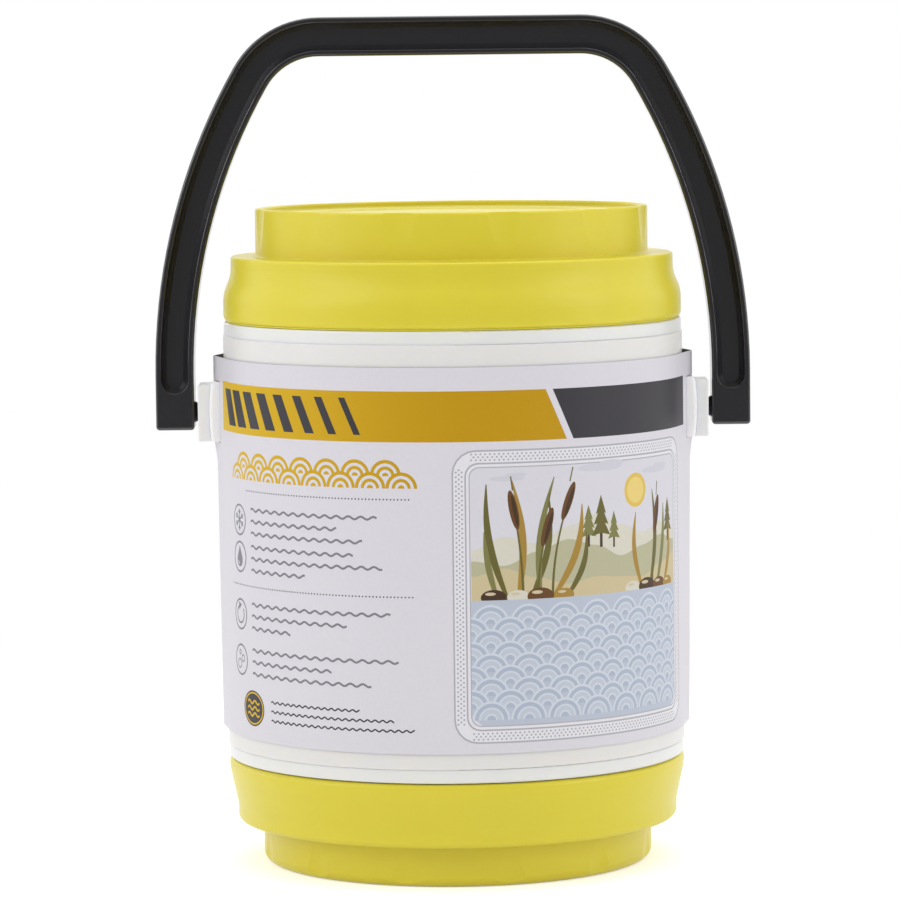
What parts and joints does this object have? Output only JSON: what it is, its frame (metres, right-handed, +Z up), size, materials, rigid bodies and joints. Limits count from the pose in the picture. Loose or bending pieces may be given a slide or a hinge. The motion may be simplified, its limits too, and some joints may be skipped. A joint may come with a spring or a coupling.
{
  "type": "insulated bait can",
  "caption": "Round double-walled bait can with a screw lid on each end, one over the bait chamber and one over the ice chamber, a printed card sleeve and a swinging bail handle.",
  "frame": {"origin": "centre of the can's footprint, on the plane its lower lid stands on", "axes": "+Z up along the can's axis, +X along the handle's pivots, to the right seen from the printed front, -Y towards the front"},
  "size_m": [0.234, 0.1824, 0.3326],
  "materials": {
    "white_shell": "satin",
    "ear_white": "satin",
    "white_liner": "satin",
    "plug_white": "satin",
    "yellow_lid": "gloss",
    "black_handle": "satin",
    "printed_card": "satin",
    "gasket_rubber": "matte",
    "foam": "matte"
  },
  "bodies": {
    "can": {"outer_barrel": "white_shell", "ear_right": "ear_white", "ear_left": "ear_white", "bait_liner": "white_liner", "ice_liner": "white_liner", "bait_foam_jacket": "foam", "ice_foam_jacket": "foam", "card_sleeve": "printed_card"},
    "handle": {"handle": "black_handle"},
    "top_lid_lift": {"top_lid_gasket": "gasket_rubber"},
    "top_lid": {"top_lid_cap": "yellow_lid", "top_lid_plug": "plug_white", "top_lid_foam": "foam"},
    "bottom_lid_lift": {"bottom_lid_gasket": "gasket_rubber"},
    "bottom_lid": {"bottom_lid_cap": "yellow_lid", "bottom_lid_plug": "plug_white", "bottom_lid_foam": "foam"}
  },
  "joints": [
    {"name": "handle_swing", "type": "hinge", "parent": "can", "child": "handle", "pos_m": [0, 0, 0.178], "axis": [1, 0, 0], "range_deg": [-135, 135]},
    {"name": "top_lid_rise", "type": "slide", "parent": "can", "child": "top_lid_lift", "axis": [0, 0, 1], "range_m": [0, 0.024]},
    {"name": "top_lid_turn", "type": "hinge", "parent": "top_lid_lift", "child": "top_lid", "pos_m": [0, 0, 0.2142], "axis": [0, 0, 1], "range_deg": [0, 1080]},
    {"name": "bottom_lid_rise", "type": "slide", "parent": "can", "child": "bottom_lid_lift", "axis": [0, 0, -1], "range_m": [0, 0.024]},
    {"name": "bottom_lid_turn", "type": "hinge", "parent": "bottom_lid_lift", "child": "bottom_lid", "pos_m": [0, 0, 0.04185], "axis": [0, 0, -1], "range_deg": [0, 1080]}
  ],
  "couplings": [
    {"joint": "top_lid_rise", "follows": "top_lid_turn", "m_per_rad": 0.0012732},
    {"joint": "bottom_lid_rise", "follows": "bottom_lid_turn", "m_per_rad": 0.0012732}
  ]
}
